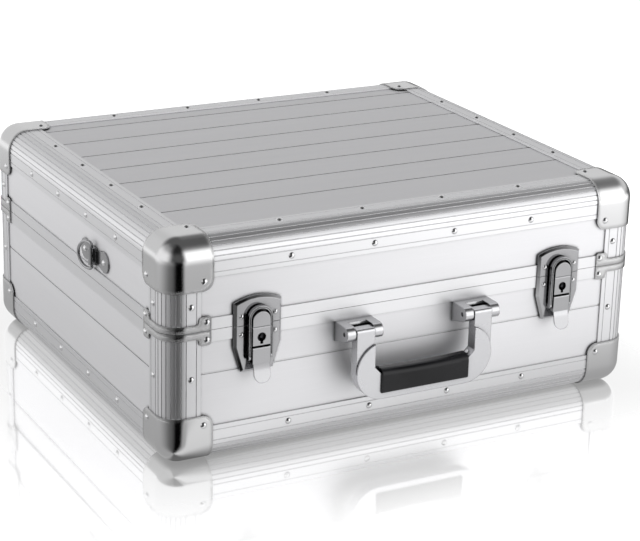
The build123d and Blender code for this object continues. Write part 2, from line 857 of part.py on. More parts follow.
def handle_frame():
    """Drop handle: two arms, raised round cheeks and the bar under the grip."""
    arm_outer = (handle_spacing + arm_width) / 2
    arm_inner = (handle_spacing - arm_width) / 2
    radius = handle_corner_radius
    grip_half = grip_length / 2
    bar_top = bar_height - handle_drop
    gusset = bar_top + grip_height - gusset_rise
    arm_back = arm_front - arm_depth
    with BuildSketch() as outline:
        with Locations((0, arm_top)):
            Rectangle(2 * arm_outer, handle_drop + arm_top, align=(Align.CENTER, Align.MAX))
        fillet(outline.vertices().group_by(Axis.Y)[0], radius)
        Polygon(
            (-arm_inner, arm_top),
            (-arm_inner, gusset + gusset_run),
            (-grip_half, gusset),
            (-grip_half, bar_top),
            (grip_half, bar_top),
            (grip_half, gusset),
            (arm_inner, gusset + gusset_run),
            (arm_inner, arm_top),
            align=None,
            mode=Mode.SUBTRACT,
        )
    with BuildSketch() as cheeks:
        middle = arm_outer - radius
        with Locations((-middle, radius - handle_drop), (middle, radius - handle_drop)):
            Circle(radius)
        with Locations((0, -handle_drop)):
            Rectangle(2 * (arm_outer - radius), bar_height, align=(Align.CENTER, Align.MIN))
        add(outline.sketch, mode=Mode.INTERSECT)
    with BuildPart() as frame:
        with BuildSketch(face_plane(0, handle_pivot_z, arm_back)):
            add(outline.sketch)
        extrude(amount=arm_depth)
        crown = frame.edges().filter_by(Axis.X).group_by(Axis.Z)[-1].group_by(Axis.Y)[0]
        fillet(crown, arm_top_radius)
        with BuildSketch(face_plane(0, handle_pivot_z, arm_front)):
            add(cheeks.sketch)
        extrude(amount=cheek_raise)
        bore = handle_pin_radius + running_clearance
        pivot_bore(0, handle_pivot_off, handle_pivot_z, bore, arm_outer + arm_width)
        for end in (-1, 1):
            with BuildSketch(gusset_plane(end)):
                Circle(screw_radius / 2)
            extrude(amount=-grip_front_radius, mode=Mode.SUBTRACT)
    return frame


def gusset_plane(end):
    """Plane on the sloping face between an arm and the grip, its normal facing the hand."""
    arm_inner = (handle_spacing - arm_width) / 2
    grip_half = grip_length / 2
    gusset_z = handle_bottom_z + bar_height + grip_height - gusset_rise
    middle = ((arm_inner + grip_half) / 2, gusset_z + gusset_run / 2)
    slope = Vector(-gusset_run * end, 0, arm_inner - grip_half)
    origin = (end * middle[0], front_y - (arm_front - arm_depth / 2), middle[1])
    return Plane(origin=origin, x_dir=Y_DIR, z_dir=slope)


def handle_grip():
    """Hand grip between the cheeks, with rounded edges and a slight waist on top."""
    low = handle_bottom_z + bar_height
    half = grip_length / 2
    with BuildPart() as grip:
        with BuildSketch(face_plane(0, low, grip_back)):
            with BuildLine():
                Line((-half, grip_height), (-half, 0))
                Line((-half, 0), (half, 0))
                Line((half, 0), (half, grip_height))
                ThreePointArc((half, grip_height), (0, grip_height - grip_waist), (-half, grip_height))
            make_face()
        extrude(amount=grip_front - grip_back)
        front_edges = grip.faces().sort_by(Axis.Y)[0].edges().filter_by(Axis.Z, reverse=True)
        fillet(front_edges.sort_by(Axis.Z)[-1], grip_front_radius)
        back_edges = grip.faces().sort_by(Axis.Y)[-1].edges().filter_by(Axis.Z, reverse=True)
        fillet(back_edges.sort_by(Axis.Z)[-1], grip_back_radius)
        low_edge = grip.faces().sort_by(Axis.Y)[0].edges().sort_by(Axis.Z)[0]
        fillet(low_edge, grip_back_radius / 2)
    return grip


for word, side in sides.items():
    save(handle_bracket(side * handle_spacing / 2), f"handle_bracket_{word}")

pin_length = bracket_width - 2 * handle_pin_recess
with BuildPart() as handle_pins:
    for side in sides.values():
        pin_x = side * handle_spacing / 2
        add(turned_pin(pin_x, handle_pivot_off, handle_pivot_z, handle_pin_radius, pin_length).part)
save(handle_pins, "handle_pins")
save(handle_frame(), "handle_frame")
save(handle_grip(), "handle_grip")

with BuildPart() as grip_screws:
    for end in (-1, 1):
        with BuildSketch(gusset_plane(end)):
            Circle(screw_radius)
        extrude(amount=screw_height)
        with BuildSketch(gusset_plane(end)):
            Circle(screw_radius / 2)
        extrude(amount=-grip_front_radius)
save(grip_screws, "handle_grip_screws")


# Strap fittings: a two-eared plate with a barrel, and a ring that swings in it
def strap_y():
    return case_shift + strap_centre_y


def strap_plate(side):
    """Plate on the end of the lid, its ears to front and back of the barrel."""
    z = floor_to_shell + strap_height
    ear = strap_ear_spacing / 2
    with BuildPart() as plate:
        with BuildSketch(end_plane(side, strap_y(), z, -flange_wall)):
            for end in (-1, 1):
                with Locations((end * ear, 0)):
                    Circle(strap_ear_radius)
                Polygon(
                    (end * (ear - strap_root_inset), strap_ear_radius - strap_root_step),
                    (end * (ear - strap_root_inset), strap_root_step - strap_ear_radius),
                    (0, -strap_neck / 2),
                    (0, strap_neck / 2),
                    align=None,
                )
            Rectangle(3 * strap_barrel_radius, strap_barrel_length)
        extrude(amount=strap_plate_thickness)
        with BuildSketch(Plane(origin=ring_pivot(side) - Z_DIR * strap_barrel_length / 2)):
            Circle(strap_barrel_radius)
            Rectangle(2 * strap_barrel_off + flange_wall, 2 * strap_barrel_radius, align=foot_align(side))
        extrude(amount=strap_barrel_length)
        with BuildSketch(end_plane(side, strap_y(), z, -flange_wall)):
            Rectangle(6 * strap_ear_radius, 6 * strap_ear_radius)
        extrude(amount=-4 * strap_barrel_radius, mode=Mode.SUBTRACT)
        with BuildSketch(Plane(origin=ring_pivot(side) - Z_DIR * strap_barrel_length)):
            Circle(ring_wire_radius + running_clearance)
        extrude(amount=2 * strap_barrel_length, mode=Mode.SUBTRACT)
    return plate


def foot_align(side):
    """Alignment that puts a rectangle on the case side of its origin."""
    return (Align.MAX if side > 0 else Align.MIN, Align.CENTER)


def ring_pivot(side):
    """Middle of the ring's straight bar."""
    return Vector(side * (half_width + strap_barrel_off), strap_y(), floor_to_shell + strap_height)


def strap_ring(side):
    """D-shaped wire ring, swung out a little from the end of the case."""
    turn = radians(ring_rest_angle)
    outward = Vector(side * sin(turn), cos(turn), 0)
    tall = ring_half_height
    straight = ring_length - tall
    ring_plane = Plane(origin=ring_pivot(side), x_dir=outward, z_dir=outward.cross(Z_DIR))
    with BuildLine(ring_plane) as path:
        bar = Line((0, 0), (0, tall - ring_corner_radius))
        bend = RadiusArc(bar @ 1, (ring_corner_radius, tall), ring_corner_radius)
        reach = Line(bend @ 1, (straight, tall))
        bow = ThreePointArc(reach @ 1, (ring_length, 0), (straight, -tall))
        back = Line(bow @ 1, (ring_corner_radius, -tall))
        turn_back = RadiusArc(back @ 1, (0, ring_corner_radius - tall), ring_corner_radius)
        Line(turn_back @ 1, (0, 0))
    with BuildPart() as ring:
        with BuildSketch(Plane(origin=ring_pivot(side), x_dir=outward)):
            Circle(ring_wire_radius)
        sweep(path=path.wire())
    return ring


for word, side in sides.items():
    save(strap_plate(side), f"strap_plate_{word}")
    save(strap_ring(side), f"strap_ring_{word}")


# Hinges at the back: leaves with interleaved knuckles on one pin
knuckle_pitch = hinge_width / hinge_knuckle_count


def hinge_leaf(x, up):
    """Leaf on the base (up -1) or the lid (up 1) with its share of the knuckles."""
    own = range(0, hinge_knuckle_count, 2) if up < 0 else range(1, hinge_knuckle_count, 2)
    plate_height = hinge_leaf_height - hinge_relief
    rim_height = base_rim_height if up < 0 else lid_rim_height
    with BuildPart() as leaf:
        with BuildSketch(back_plane(x, seam_z + up * (hinge_relief + plate_height / 2))):
            Rectangle(hinge_width, plate_height)
        extrude(amount=hinge_leaf_thickness)
        pad = hinge_leaf_height - rim_height
        with BuildSketch(back_plane(x, seam_z + up * (rim_height + pad / 2))):
            Rectangle(hinge_width, pad)
        extrude(amount=-flange_wall)
        for index in own:
            knuckle_x = x + (index - (hinge_knuckle_count - 1) / 2) * knuckle_pitch
            half = (knuckle_pitch - hinge_knuckle_gap) / 2
            middle = Plane(origin=(knuckle_x, back_y, seam_z), x_dir=Y_DIR, z_dir=X_DIR)
            with BuildSketch(middle):
                with Locations((hinge_barrel_off, 0)):
                    Circle(hinge_barrel_radius)
                with Locations((0, up * (seam_gap / 2))):
                    tab = hinge_relief + hinge_tab_lap
                    vertical = Align.MIN if up > 0 else Align.MAX
                    Rectangle(hinge_leaf_thickness, tab, align=(Align.MIN, vertical))
            extrude(amount=half, both=True)
        bore = hinge_pin_radius + (running_clearance if up > 0 else 0)
        with BuildSketch(Plane(origin=(x, back_y + hinge_barrel_off, seam_z), x_dir=Y_DIR, z_dir=X_DIR)):
            Circle(bore)
        extrude(amount=hinge_width, both=True, mode=Mode.SUBTRACT)
    return leaf


def hinge_group(up):
    with BuildPart() as leaves:
        for side in sides.values():
            add(hinge_leaf(side * hinge_spacing / 2, up).part)
    return leaves


save(hinge_group(-1), "hinge_base_leaves")
save(hinge_group(1), "hinge_lid_leaves")

with BuildPart() as hinge_pins:
    for side in sides.values():
        hinge_x = side * hinge_spacing / 2
        add(turned_pin(hinge_x, -case_depth - hinge_barrel_off, seam_z, hinge_pin_radius, hinge_width).part)
save(hinge_pins, "hinge_pins")


# Rivet heads
def rivet_head(radius, height):
    """Domed head standing on the XY plane."""
    dome = (radius**2 + height**2) / (2 * height)
    with BuildPart() as head:
        with Locations((0, 0, height - dome)):
            Sphere(dome)
        split(bisect_by=Plane.XY, keep=Keep.TOP)
    return head


domed = rivet_head(rivet_radius, rivet_height)
low_domed = rivet_head(rivet_radius, low_rivet_height)
latch_domed = rivet_head(latch_rivet_radius, rivet_height)


def spread(count, pitch):
    """Evenly spaced places about zero."""
    return [(index - (count - 1) / 2) * pitch for index in range(count)]


def side_planes(along_x, along_y, height, off=0.0):
    """Planes on all four upright faces: places along X, places along Y, one height."""
    z = floor_to_shell + height
    planes = []
    for x in along_x:
        planes += [face_plane(x, z, off), back_plane(x, z, off)]
    for y in along_y:
        planes += [end_plane(side, case_shift + y, z, off) for side in sides.values()]
    return planes


def flat_planes(level, outward):
    """Planes along the flanges of the top or the bottom face."""
    planes = []
    for depth in depths.values():
        y = case_shift + depth * (case_depth / 2 - rivet_inset)
        for x in spread(rivet_count, rivet_pitch_x):
            planes.append(Plane(origin=(x, y, level), z_dir=Z_DIR * outward))
    for side in sides.values():
        x = side * (half_width - rivet_inset)
        for y in spread(rivet_count, rivet_pitch_y):
            planes.append(Plane(origin=(x, case_shift + y, level), z_dir=Z_DIR * outward))
    return planes


def ends(span, inset):
    """Two places an inset away from the ends of a span."""
    return (-(span / 2 - inset), span / 2 - inset)


def corner_columns(inset):
    """Places along X and Y near the upright corners."""
    return ends(case_width, inset), ends(case_depth, inset)


edge_places = (spread(rivet_count, rivet_pitch_x), spread(rivet_count, rivet_pitch_y))
base_planes = side_planes(*edge_places, rivet_inset)
base_planes += side_planes(*corner_columns(rivet_inset), seam_height - base_post_rivet_from_seam)
base_planes += side_planes(*corner_columns(flap_rivet_inset), flap_rivet_inset, corner_sheet)
base_planes += side_planes(*corner_columns(ear_rivet_inset), seam_height - ear_rivet_from_seam, corner_sheet)
lid_planes = side_planes(*edge_places, case_height - rivet_inset)
lid_planes += side_planes(*corner_columns(rivet_inset), seam_height + lid_post_rivet_from_seam)
lid_planes += side_planes(*corner_columns(flap_rivet_inset), case_height - flap_rivet_inset, corner_sheet)
lid_planes += side_planes(*corner_columns(ear_rivet_inset), seam_height + ear_rivet_from_seam, corner_sheet)
lid_planes += flat_planes(top_z, 1)
for side in sides.values():
    for depth in depths.values():
        x = side * (half_width - flap_rivet_inset)
        y = case_shift + depth * (case_depth / 2 - flap_rivet_inset)
        lid_planes.append(Plane(origin=(x, y, top_z + corner_sheet)))
    for hinge_place in spread(3, hinge_rivet_pitch):
        x = side * hinge_spacing / 2 + hinge_place
        base_planes.append(back_plane(x, seam_z - hinge_rivet_from_seam, hinge_leaf_thickness))
        lid_planes.append(back_plane(x, seam_z + hinge_rivet_from_seam, hinge_leaf_thickness))
    for end in (-1, 1):
        ear_y = strap_y() + end * strap_ear_spacing / 2
        ear_off = strap_plate_thickness - flange_wall
        lid_planes.append(end_plane(side, ear_y, floor_to_shell + strap_height, ear_off))


def latch_rivet_planes(height):
    """Planes for the two rivets of each latch plate at a height above the seam."""
    planes = []
    for side in sides.values():
        for end in (-1, 1):
            x = side * latch_spacing / 2 + end * latch_rivet_spacing / 2
            planes.append(face_plane(x, seam_z + height, latch_plate_thickness))
    return planes


with BuildPart() as base_rivets:
    with Locations(*base_planes):
        add(domed.part)
    with Locations(*flat_planes(floor_to_shell, -1)):
        add(low_domed.part)
    with Locations(*latch_rivet_planes(-latch_rivet_drop)):
        add(latch_domed.part)
save(base_rivets, "base_rivets")

with BuildPart() as lid_rivets:
    with Locations(*lid_planes):
        add(domed.part)
    with Locations(*latch_rivet_planes(catch_rivet_rise)):
        add(latch_domed.part)
save(lid_rivets, "lid_rivets")
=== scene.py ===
import json
from math import cos, pi, radians, sin

import bpy
from mathutils import Matrix, Vector

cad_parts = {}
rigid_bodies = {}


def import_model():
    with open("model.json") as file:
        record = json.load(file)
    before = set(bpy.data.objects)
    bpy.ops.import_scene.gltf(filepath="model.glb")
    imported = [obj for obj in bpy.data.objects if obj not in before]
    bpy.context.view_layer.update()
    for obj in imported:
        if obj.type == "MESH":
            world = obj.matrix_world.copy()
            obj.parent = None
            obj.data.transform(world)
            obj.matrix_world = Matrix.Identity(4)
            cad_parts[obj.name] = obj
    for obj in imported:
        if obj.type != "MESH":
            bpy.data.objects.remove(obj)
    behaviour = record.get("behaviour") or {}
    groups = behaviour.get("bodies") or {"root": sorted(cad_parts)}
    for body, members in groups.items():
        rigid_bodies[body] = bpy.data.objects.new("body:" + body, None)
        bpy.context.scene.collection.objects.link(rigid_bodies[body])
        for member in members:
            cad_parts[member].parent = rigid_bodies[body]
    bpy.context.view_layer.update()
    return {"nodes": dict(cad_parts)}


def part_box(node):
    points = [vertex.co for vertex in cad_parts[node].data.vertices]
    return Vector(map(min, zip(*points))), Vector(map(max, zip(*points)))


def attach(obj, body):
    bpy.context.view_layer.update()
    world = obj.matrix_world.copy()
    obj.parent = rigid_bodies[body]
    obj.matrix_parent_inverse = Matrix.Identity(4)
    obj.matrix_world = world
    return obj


# Flight case: finishes for the CAD pieces, foam and trim on them, the photograph's camera and a white
# studio. Lengths are in metres.
for old in list(bpy.data.objects):
    bpy.data.objects.remove(old)

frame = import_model()
nodes = frame["nodes"]
scene = bpy.context.scene

# Camera: the photograph's view, 640 by 541 pixels
CAMERA_AZIMUTH, CAMERA_ELEVATION, CAMERA_ROLL = radians(-28.56), radians(19.51), 0.0267
CAMERA_TARGET, CAMERA_DISTANCE = Vector((0.01915, 0.01075, 0.0774)), 1.9807
SENSOR_WIDTH, FOCAL_LENGTH, VIEW_END = 36.0, 113.03, 50.0


def place_camera():
    azimuth, elevation, roll = CAMERA_AZIMUTH, CAMERA_ELEVATION, CAMERA_ROLL
    back = Vector((sin(azimuth) * cos(elevation), -cos(azimuth) * cos(elevation), sin(elevation)))
    right = (-back).cross(Vector((0, 0, 1))).normalized()
    up = right.cross(-back)
    across = right * cos(roll) + up * sin(roll)
    upright = up * cos(roll) - right * sin(roll)
    data = bpy.data.cameras.new("camera")
    data.sensor_fit = "HORIZONTAL"
    data.sensor_width = SENSOR_WIDTH
    data.lens = FOCAL_LENGTH
    data.clip_end = VIEW_END
    camera = bpy.data.objects.new("camera", data)
    pose = Matrix((across, upright, back)).transposed().to_4x4()
    pose.translation = CAMERA_TARGET + back * CAMERA_DISTANCE
    camera.matrix_world = pose
    scene.collection.objects.link(camera)
    scene.camera = camera


place_camera()


class Nodes:
    """A node tree, with short ways to add nodes and link them."""

    easing = "LINEAR"

    def __init__(self, tree):
        self.tree = tree

    def fill(self, node, **inputs):
        """Set inputs by name; an underscore stands for a space."""
        for key, value in inputs.items():
            node.inputs[key.replace("_", " ")].default_value = value

    def add(self, kind, **inputs):
        node = self.tree.nodes.new("ShaderNode" + kind)
        self.fill(node, **inputs)
        return node

    def link(self, source, target):
        self.tree.links.new(source, target)

    def put(self, value, socket):
        """Give a socket a number, or link another socket to it."""
        if isinstance(value, (int, float)):
            socket.default_value = value
        else:
            self.link(value, socket)

    def math(self, operation, *values, clamp=False):
        node = self.add("Math")
        node.operation = operation
        node.use_clamp = clamp
        for value, socket in zip(values, node.inputs):
            self.put(value, socket)
        return node.outputs[0]

    def ramp(self, source, low, high, to_low, to_high):
        """to_low up to low, to_high from high on, and between them a slope."""
        node = self.add("MapRange", From_Min=low, From_Max=high, To_Min=to_low, To_Max=to_high)
        node.interpolation_type = self.easing
        self.link(source, node.inputs["Value"])
        return node.outputs["Result"]


# Finishes
class Graph(Nodes):
    """The nodes of a surface's material."""

    def __init__(self, name, color, metallic, roughness, **inputs):
        self.material = bpy.data.materials.new(name)
        self.material.use_nodes = True
        self.material.diffuse_color = (*color, 1.0)
        super().__init__(self.material.node_tree)
        self.shader = self.tree.nodes["Principled BSDF"]
        self.fill(self.shader, Base_Color=(*color, 1.0), Metallic=metallic, Roughness=roughness, **inputs)

    def noise(self, scale, detail, stretch=(1, 1, 1), roughness=0.55):
        coords = self.add("TexCoord")
        mapping = self.add("Mapping", Scale=stretch)
        self.link(coords.outputs["Object"], mapping.inputs["Vector"])
        noise = self.add("TexNoise", Scale=scale, Detail=detail, Roughness=roughness)
        self.link(mapping.outputs["Vector"], noise.inputs["Vector"])
        return noise.outputs["Fac"]

    def tint(self, source, dark, light):
        blend = self.add("ValToRGB")
        blend.color_ramp.elements[0].color = (*dark, 1.0)
        blend.color_ramp.elements[1].color = (*light, 1.0)
        self.link(source, blend.inputs["Fac"])
        self.link(blend.outputs["Color"], self.shader.inputs["Base Color"])
        return blend

    def bump(self, source, strength, distance, normal=None):
        bump = self.add("Bump", Strength=strength, Distance=distance)
        self.link(source, bump.inputs["Height"])
        if normal is not None:
            self.link(normal, bump.inputs["Normal"])
        self.link(bump.outputs["Normal"], self.shader.inputs["Normal"])

    def rounded(self, radius):
        """Normals that round sharp edges off."""
        bevel = self.add("Bevel", Radius=radius)
        bevel.samples = 4
        return bevel.outputs["Normal"]

    def shelter_shade(self, distance, low, high):
        """Mask for painted shade: from 0 deep in gaps and grooves to 1 in the open."""
        shelter = self.add("AmbientOcclusion", Distance=distance)
        shelter.samples = 6
        return self.ramp(shelter.outputs["AO"], low, high, 0.0, 1.0)

    def roughness(self, source):
        self.link(source, self.shader.inputs["Roughness"])


# Brushed metal: length of a streak for its width, its contrast, how far the painted shade in grooves
# reaches, and where the plain metal lies on the tint between the painted shade of grooves and a bright
# streak
GRAIN_STRETCH, STREAK, GROOVE_SHADE_REACH, BODY_STOP = 90.0, 0.02, 0.0035, 0.9
# Chrome: the painted shade deep in crevices, as a share of its color
CREVICE_SHADE = 0.12


def scaled(color, factor):
    return [channel * factor for channel in color]


def brushed(name, color, grain, roughness, bump=0.06, groove_shade=0.12):
    """Satin aluminium with fine streaks along one direction and painted shade in its grooves."""
    graph = Graph(name, color, 1.0, roughness)
    stretch = [1.0 if along else GRAIN_STRETCH for along in grain]
    fine = graph.noise(scale=24.0, detail=5.0, stretch=stretch, roughness=0.75)
    broad = graph.noise(scale=4.0, detail=2.0, stretch=[times**0.6 for times in stretch])
    mixed = graph.math("MULTIPLY_ADD", broad, 0.5, fine)
    streaks = graph.ramp(mixed, 0.5, 1.0, BODY_STOP, 1.0)
    # Painted shade: the streaked colour darkens deep in grooves and gaps
    shade = graph.math("MULTIPLY", streaks, graph.shelter_shade(GROOVE_SHADE_REACH, 0.3, 0.9))
    blend = graph.tint(shade, scaled(color, groove_shade), scaled(color, 1 + STREAK))
    body = blend.color_ramp.elements.new(BODY_STOP)
    body.color = (*scaled(color, 1 - STREAK), 1.0)
    graph.roughness(graph.ramp(fine, 0.3, 0.7, roughness - 0.03, roughness + 0.03))
    graph.bump(fine, strength=bump, distance=0.0001)
    return graph.material


def chrome(name, color, roughness, smudge, edge, crevice_shade_reach=0.006):
    """Bright plating with soft smudges, rounded edges and painted shade in crevices."""
    graph = Graph(name, color, 1.0, roughness)
    smudges = graph.noise(scale=18.0, detail=5.0)
    ripples = graph.noise(scale=45.0, detail=2.0)
    graph.roughness(graph.ramp(smudges, 0.35, 0.7, roughness - smudge, roughness + smudge))
    # Painted shade: the colour falls to a small share of itself deep in crevices and beside other parts
    graph.tint(graph.shelter_shade(crevice_shade_reach, 0.25, 0.85), scaled(color, CREVICE_SHADE), color)
    graph.bump(ripples, strength=0.02, distance=0.0006, normal=graph.rounded(edge))
    return graph.material


def satin_paint():
    """Fine metallic paint on cast metal, with painted shade in its gaps and hollows."""
    coat = {"Coat_Weight": 0.2, "Coat_Roughness": 0.12}
    graph = Graph("handle_silver", (0.66, 0.66, 0.68), 0.95, 0.30, **coat)
    fleck = graph.noise(scale=2600.0, detail=2.0)
    clouds = graph.noise(scale=30.0, detail=3.0)
    flecks = graph.ramp(fleck, 0.35, 0.65, 0.88, 1.0)
    # Painted shade: the colour falls towards near-black in gaps and hollows
    shade = graph.math("MULTIPLY", flecks, graph.shelter_shade(0.055, 0.25, 0.9))
    graph.tint(shade, (0.05, 0.05, 0.055), (0.70, 0.70, 0.72))
    graph.roughness(graph.ramp(clouds, 0.3, 0.7, 0.2, 0.3))
    graph.bump(fleck, strength=0.05, distance=0.00005, normal=graph.rounded(0.0011))
    return graph.material


def black_grip():
    """Moulded black plastic with a fine grain and a dull sheen where the hand rubs."""
    graph = Graph("grip_black", (0.004, 0.004, 0.005), 0.0, 0.36, Specular_IOR_Level=0.32)
    pores = graph.noise(scale=900.0, detail=3.0)
    wear = graph.noise(scale=24.0, detail=4.0)
    graph.tint(graph.ramp(wear, 0.35, 0.75, 0.0, 1.0), (0.003, 0.003, 0.004), (0.011, 0.011, 0.013))
    graph.roughness(graph.ramp(wear, 0.3, 0.7, 0.2, 0.3))
    graph.bump(pores, strength=0.12, distance=0.0001, normal=graph.rounded(0.0008))
    return graph.material


def foam():
    """Dark open foam with fine cells."""
    graph = Graph("lining_foam", (0.022, 0.022, 0.024), 0.0, 0.95)
    cells = graph.noise(scale=1400.0, detail=5.0)
    patches = graph.noise(scale=12.0, detail=3.0)
    graph.tint(graph.ramp(patches, 0.3, 0.7, 0.0, 1.0), (0.016, 0.016, 0.018), (0.03, 0.03, 0.033))
    graph.bump(cells, strength=0.6, distance=0.0005, normal=graph.rounded(0.001))
    return graph.material


ALONG_X, ALONG_Y, ALONG_Z = (1, 0, 0), (0, 1, 0), (0, 0, 1)
PANEL, PROFILE = (0.925, 0.923, 0.94), (0.86, 0.86, 0.875)
# Brushed: color, grain, roughness. Chrome: color, roughness, its spread, edge radius, reach of the
# painted shade in crevices
materials = {
    "panel_x": brushed("panel_x", PANEL, ALONG_X, 0.56, bump=0.08),
    "panel_y": brushed("panel_y", PANEL, ALONG_Y, 0.56, bump=0.08),
    "profile_x": brushed("profile_x", PROFILE, ALONG_X, 0.40, groove_shade=0.35),
    "profile_y": brushed("profile_y", PROFILE, ALONG_Y, 0.40, groove_shade=0.35),
    "profile_z": brushed("profile_z", PROFILE, ALONG_Z, 0.46, groove_shade=0.35),
    "corner": chrome("corner_chrome", (0.68, 0.68, 0.685), 0.13, 0.04, 0.005),
    "fitting": chrome("fitting_chrome", (0.43, 0.43, 0.44), 0.12, 0.03, 0.0008, 0.012),
    # The bracket's long reach of painted shade darkens its sides next to the panel
    "bracket": chrome("bracket_chrome", (0.60, 0.60, 0.615), 0.18, 0.04, 0.0011, 0.075),
    "rivet": chrome("rivet_steel", (0.78, 0.78, 0.79), 0.13, 0.04, 0.0002, 0.003),
    # Near-black plug: painted shade standing for the dark keyhole
    "plug": chrome("plug_keyhole_shade", (0.05, 0.05, 0.055), 0.35, 0.08, 0.0002),
    "pin": chrome("pin_steel", (0.50, 0.50, 0.52), 0.28, 0.08, 0.0002),
    "hinge": chrome("hinge_steel", (0.62, 0.62, 0.63), 0.3, 0.08, 0.0003),
    "handle": satin_paint(),
    "grip": black_grip(),
    "foam": foam(),
}


def material_for(name):
    """The finish of a CAD node, by its name."""
    grain = "y" if "left" in name or "right" in name else "x"
    rules = (
        (name.endswith(("_rivets", "_screws")), "rivet"),
        ("lining" in name, "foam"),
        ("panel" in name, "panel_" + grain),
        (name.endswith("_edge"), "profile_" + grain),
        (name.endswith("_posts"), "profile_z"),
        (name.endswith("_rim"), "profile_x"),
        ("corner" in name, "corner"),
        ("plug" in name, "plug"),
        ("pins" in name, "pin"),
        (name.startswith("hinge"), "hinge"),
        (name.startswith("handle_bracket"), "bracket"),
        (name == "handle_grip", "grip"),
        (name == "handle_frame", "handle"),
        (True, "fitting"),
    )
    return materials[next(finish for fits, finish in rules if fits)]


for name, node in nodes.items():
    node.data.materials.clear()
    node.data.materials.append(material_for(name))

# Handle cheeks: a dark line of painted shade where each round cheek laps its arm
CHEEK_RADIUS, CHEEK_PROUD, ARM_WIDTH = 0.027, 0.0020, 0.0178
CHEEK_TURN, CHEEK_STEPS = 98, 32
SHADE_LINE_RADIUS, SHADE_LINE_OVERRUN = 0.00035, 0.0002


def line_piece(name, runs, radius, body, material):
    """Thin round line along runs of points, as one mesh."""
    data = bpy.data.curves.new(name, "CURVE")
    data.dimensions = "3D"
    data.bevel_depth = radius
    data.bevel_resolution = 2
    for run in runs:
        line = data.splines.new("POLY")
        line.points.add(len(run) - 1)
        for point, place in zip(line.points, run):
            point.co = (*place, 1.0)
    path = bpy.data.objects.new(name + "_path", data)
    piece = bpy.data.objects.new(name, bpy.data.meshes.new_from_object(path))
    bpy.data.objects.remove(path)
    scene.collection.objects.link(piece)
    piece.data.materials.clear()
    piece.data.materials.append(material)
    piece.data.shade_smooth()
    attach(piece, body)


def cheek_shade_lines():
    """Painted shade line along each cheek's rim, from the arm's outer side to its inner side."""
    low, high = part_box("handle_frame")
    front, centre_z = low[1] + CHEEK_PROUD, low[2] + CHEEK_RADIUS
    runs = []
    for side in (-1, 1):
        centre_x, inner = side * (high[0] - CHEEK_RADIUS), side * (high[0] - ARM_WIDTH)
        run = []
        for step in range(CHEEK_STEPS + 1):
            angle = radians(CHEEK_TURN * step / CHEEK_STEPS)
            x = centre_x + side * CHEEK_RADIUS * cos(angle)
            if (x - inner) * side >= -SHADE_LINE_OVERRUN:
                run.append((x, front, centre_z + CHEEK_RADIUS * sin(angle)))
        runs.append(run)
    # The line takes the near-black plug finish as painted shade
    line_piece("handle_cheek_shade_line", runs, SHADE_LINE_RADIUS, "handle", materials["plug"])


cheek_shade_lines()

# Interior: cut block foam on the floor and wave foam under the lid
LINING, FOAM_GAP, FOAM_DEPTH = 0.003, 0.0018, 0.0052
BLOCKS, BLOCK_GAP, BLOCK_BEVEL = (30, 26), 0.0003, 0.0009
WAVE_GRID, WAVE_PITCH, WAVE_MIDDLE, WAVE_SWING = (152, 132), 0.024, 0.56, 0.42


def foam_piece(name, vertices, faces, body):
    mesh = bpy.data.meshes.new(name)
    mesh.from_pydata(vertices, [], faces)
    mesh.materials.append(materials["foam"])
    piece = bpy.data.objects.new(name, mesh)
    scene.collection.objects.link(piece)
    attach(piece, body)
    return piece


def foam_room(node):
    """Sides of the flat room inside a lining, clear of its walls."""
    low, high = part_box(node)
    inset = LINING + FOAM_GAP
    return low[0] + inset, high[0] - inset, low[1] + inset, high[1] - inset


def block_foam():
    """Rows of closed blocks with bevelled tops, parted by thin cuts."""
    west, east, south, north = foam_room("base_lining")
    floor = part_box("base_lining")[0][2] + LINING
    across, along = BLOCKS
    pitch_x, pitch_y = (east - west) / across, (north - south) / along
    rings = (
        (BLOCK_GAP, 0.0),
        (BLOCK_GAP, FOAM_DEPTH - BLOCK_BEVEL),
        (BLOCK_GAP + BLOCK_BEVEL, FOAM_DEPTH),
    )
    vertices, faces = [], []
    for column in range(across):
        for row in range(along):
            x, y = west + (column + 0.5) * pitch_x, south + (row + 0.5) * pitch_y
            first = len(vertices)
            for inset, height in rings:
                half_x, half_y = pitch_x / 2 - inset, pitch_y / 2 - inset
                for side_x, side_y in ((-1, -1), (1, -1), (1, 1), (-1, 1)):
                    vertices.append((x + side_x * half_x, y + side_y * half_y, floor + height))
            faces.append([first + 3, first + 2, first + 1, first])
            for ring in (0, 4):
                for side in range(4):
                    after = (side + 1) % 4
                    corners = (side, after, after + 4, side + 4)
                    faces.append([first + ring + corner for corner in corners])
            faces.append([first + 8, first + 9, first + 10, first + 11])
    foam_piece("base_block_foam", vertices, faces, "base")


def wave_foam():
    """Closed sheet with a waved lower face and a flat upper one."""
    west, east, south, north = foam_room("lid_lining")
    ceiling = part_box("lid_lining")[1][2] - LINING
    across, along = WAVE_GRID
    vertices, faces = [], []
    for row in range(along + 1):
        y = south + (north - south) * row / along
        for column in range(across + 1):
            x = west + (east - west) * column / across
            wave = sin(2 * pi * (x - west) / WAVE_PITCH) * sin(2 * pi * (y - south) / WAVE_PITCH)
            vertices.append((x, y, ceiling - FOAM_DEPTH * (WAVE_MIDDLE + WAVE_SWING * wave)))
    stride = across + 1
    for row in range(along):
        for column in range(across):
            corner = row * stride + column
            faces.append([corner, corner + stride, corner + stride + 1, corner + 1])
    rim = list(range(stride))
    rim += [row * stride + across for row in range(1, along + 1)]
    rim += [along * stride + column for column in range(across - 1, -1, -1)]
    rim += [row * stride for row in range(along - 1, 0, -1)]
    first, count = len(vertices), len(rim)
    vertices += [(vertices[spot][0], vertices[spot][1], ceiling) for spot in rim]
    for place in range(count):
        after = (place + 1) % count
        faces.append([rim[place], rim[after], first + after, first + place])
    faces.append([first + place for place in range(count)])
    foam_piece("lid_wave_foam", vertices, faces, "lid").data.shade_smooth()


block_foam()
wave_foam()
